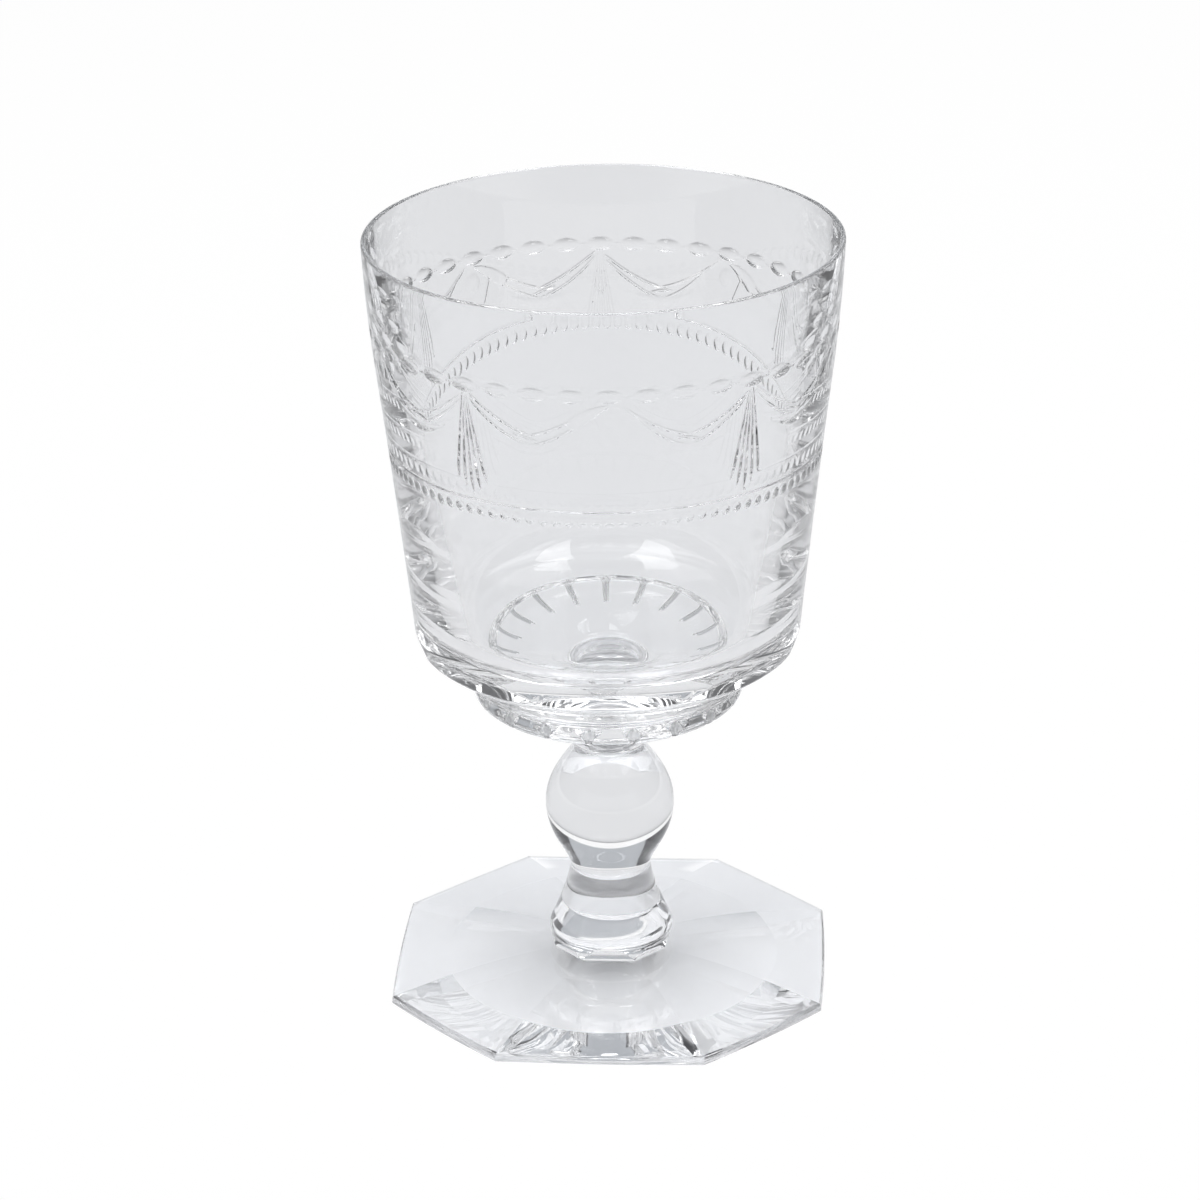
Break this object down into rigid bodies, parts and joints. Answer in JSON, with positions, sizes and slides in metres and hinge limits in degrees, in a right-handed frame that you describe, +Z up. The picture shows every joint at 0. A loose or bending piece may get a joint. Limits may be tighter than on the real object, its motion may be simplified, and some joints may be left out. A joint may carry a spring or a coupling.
{
  "type": "wine glass",
  "caption": "Stemmed white wine glass of clear cut crystal: tapered bowl with a band of oval cuts, ball knop stem and octagonal foot, for drinking wine.",
  "frame": {"origin": "on the table, under the middle of the foot", "axes": "+Z up along the stem to the rim, -Y towards the front of the cut pattern, X and Y square to the foot's four long sides"},
  "size_m": [0.08, 0.08, 0.1352],
  "materials": {
    "bowl_crystal": "polished, with polished cuts",
    "bowl_base_crystal": "moulded and fire polished, with frosted leaves",
    "stem_crystal": "fire polished",
    "foot_crystal": "ground flat and polished"
  },
  "bodies": {
    "root": {"bowl": "bowl_crystal", "bowl_base": "bowl_base_crystal", "merese": "stem_crystal", "ball_knop": "stem_crystal", "stem_base": "stem_crystal", "foot": "foot_crystal"}
  },
  "joints": []
}
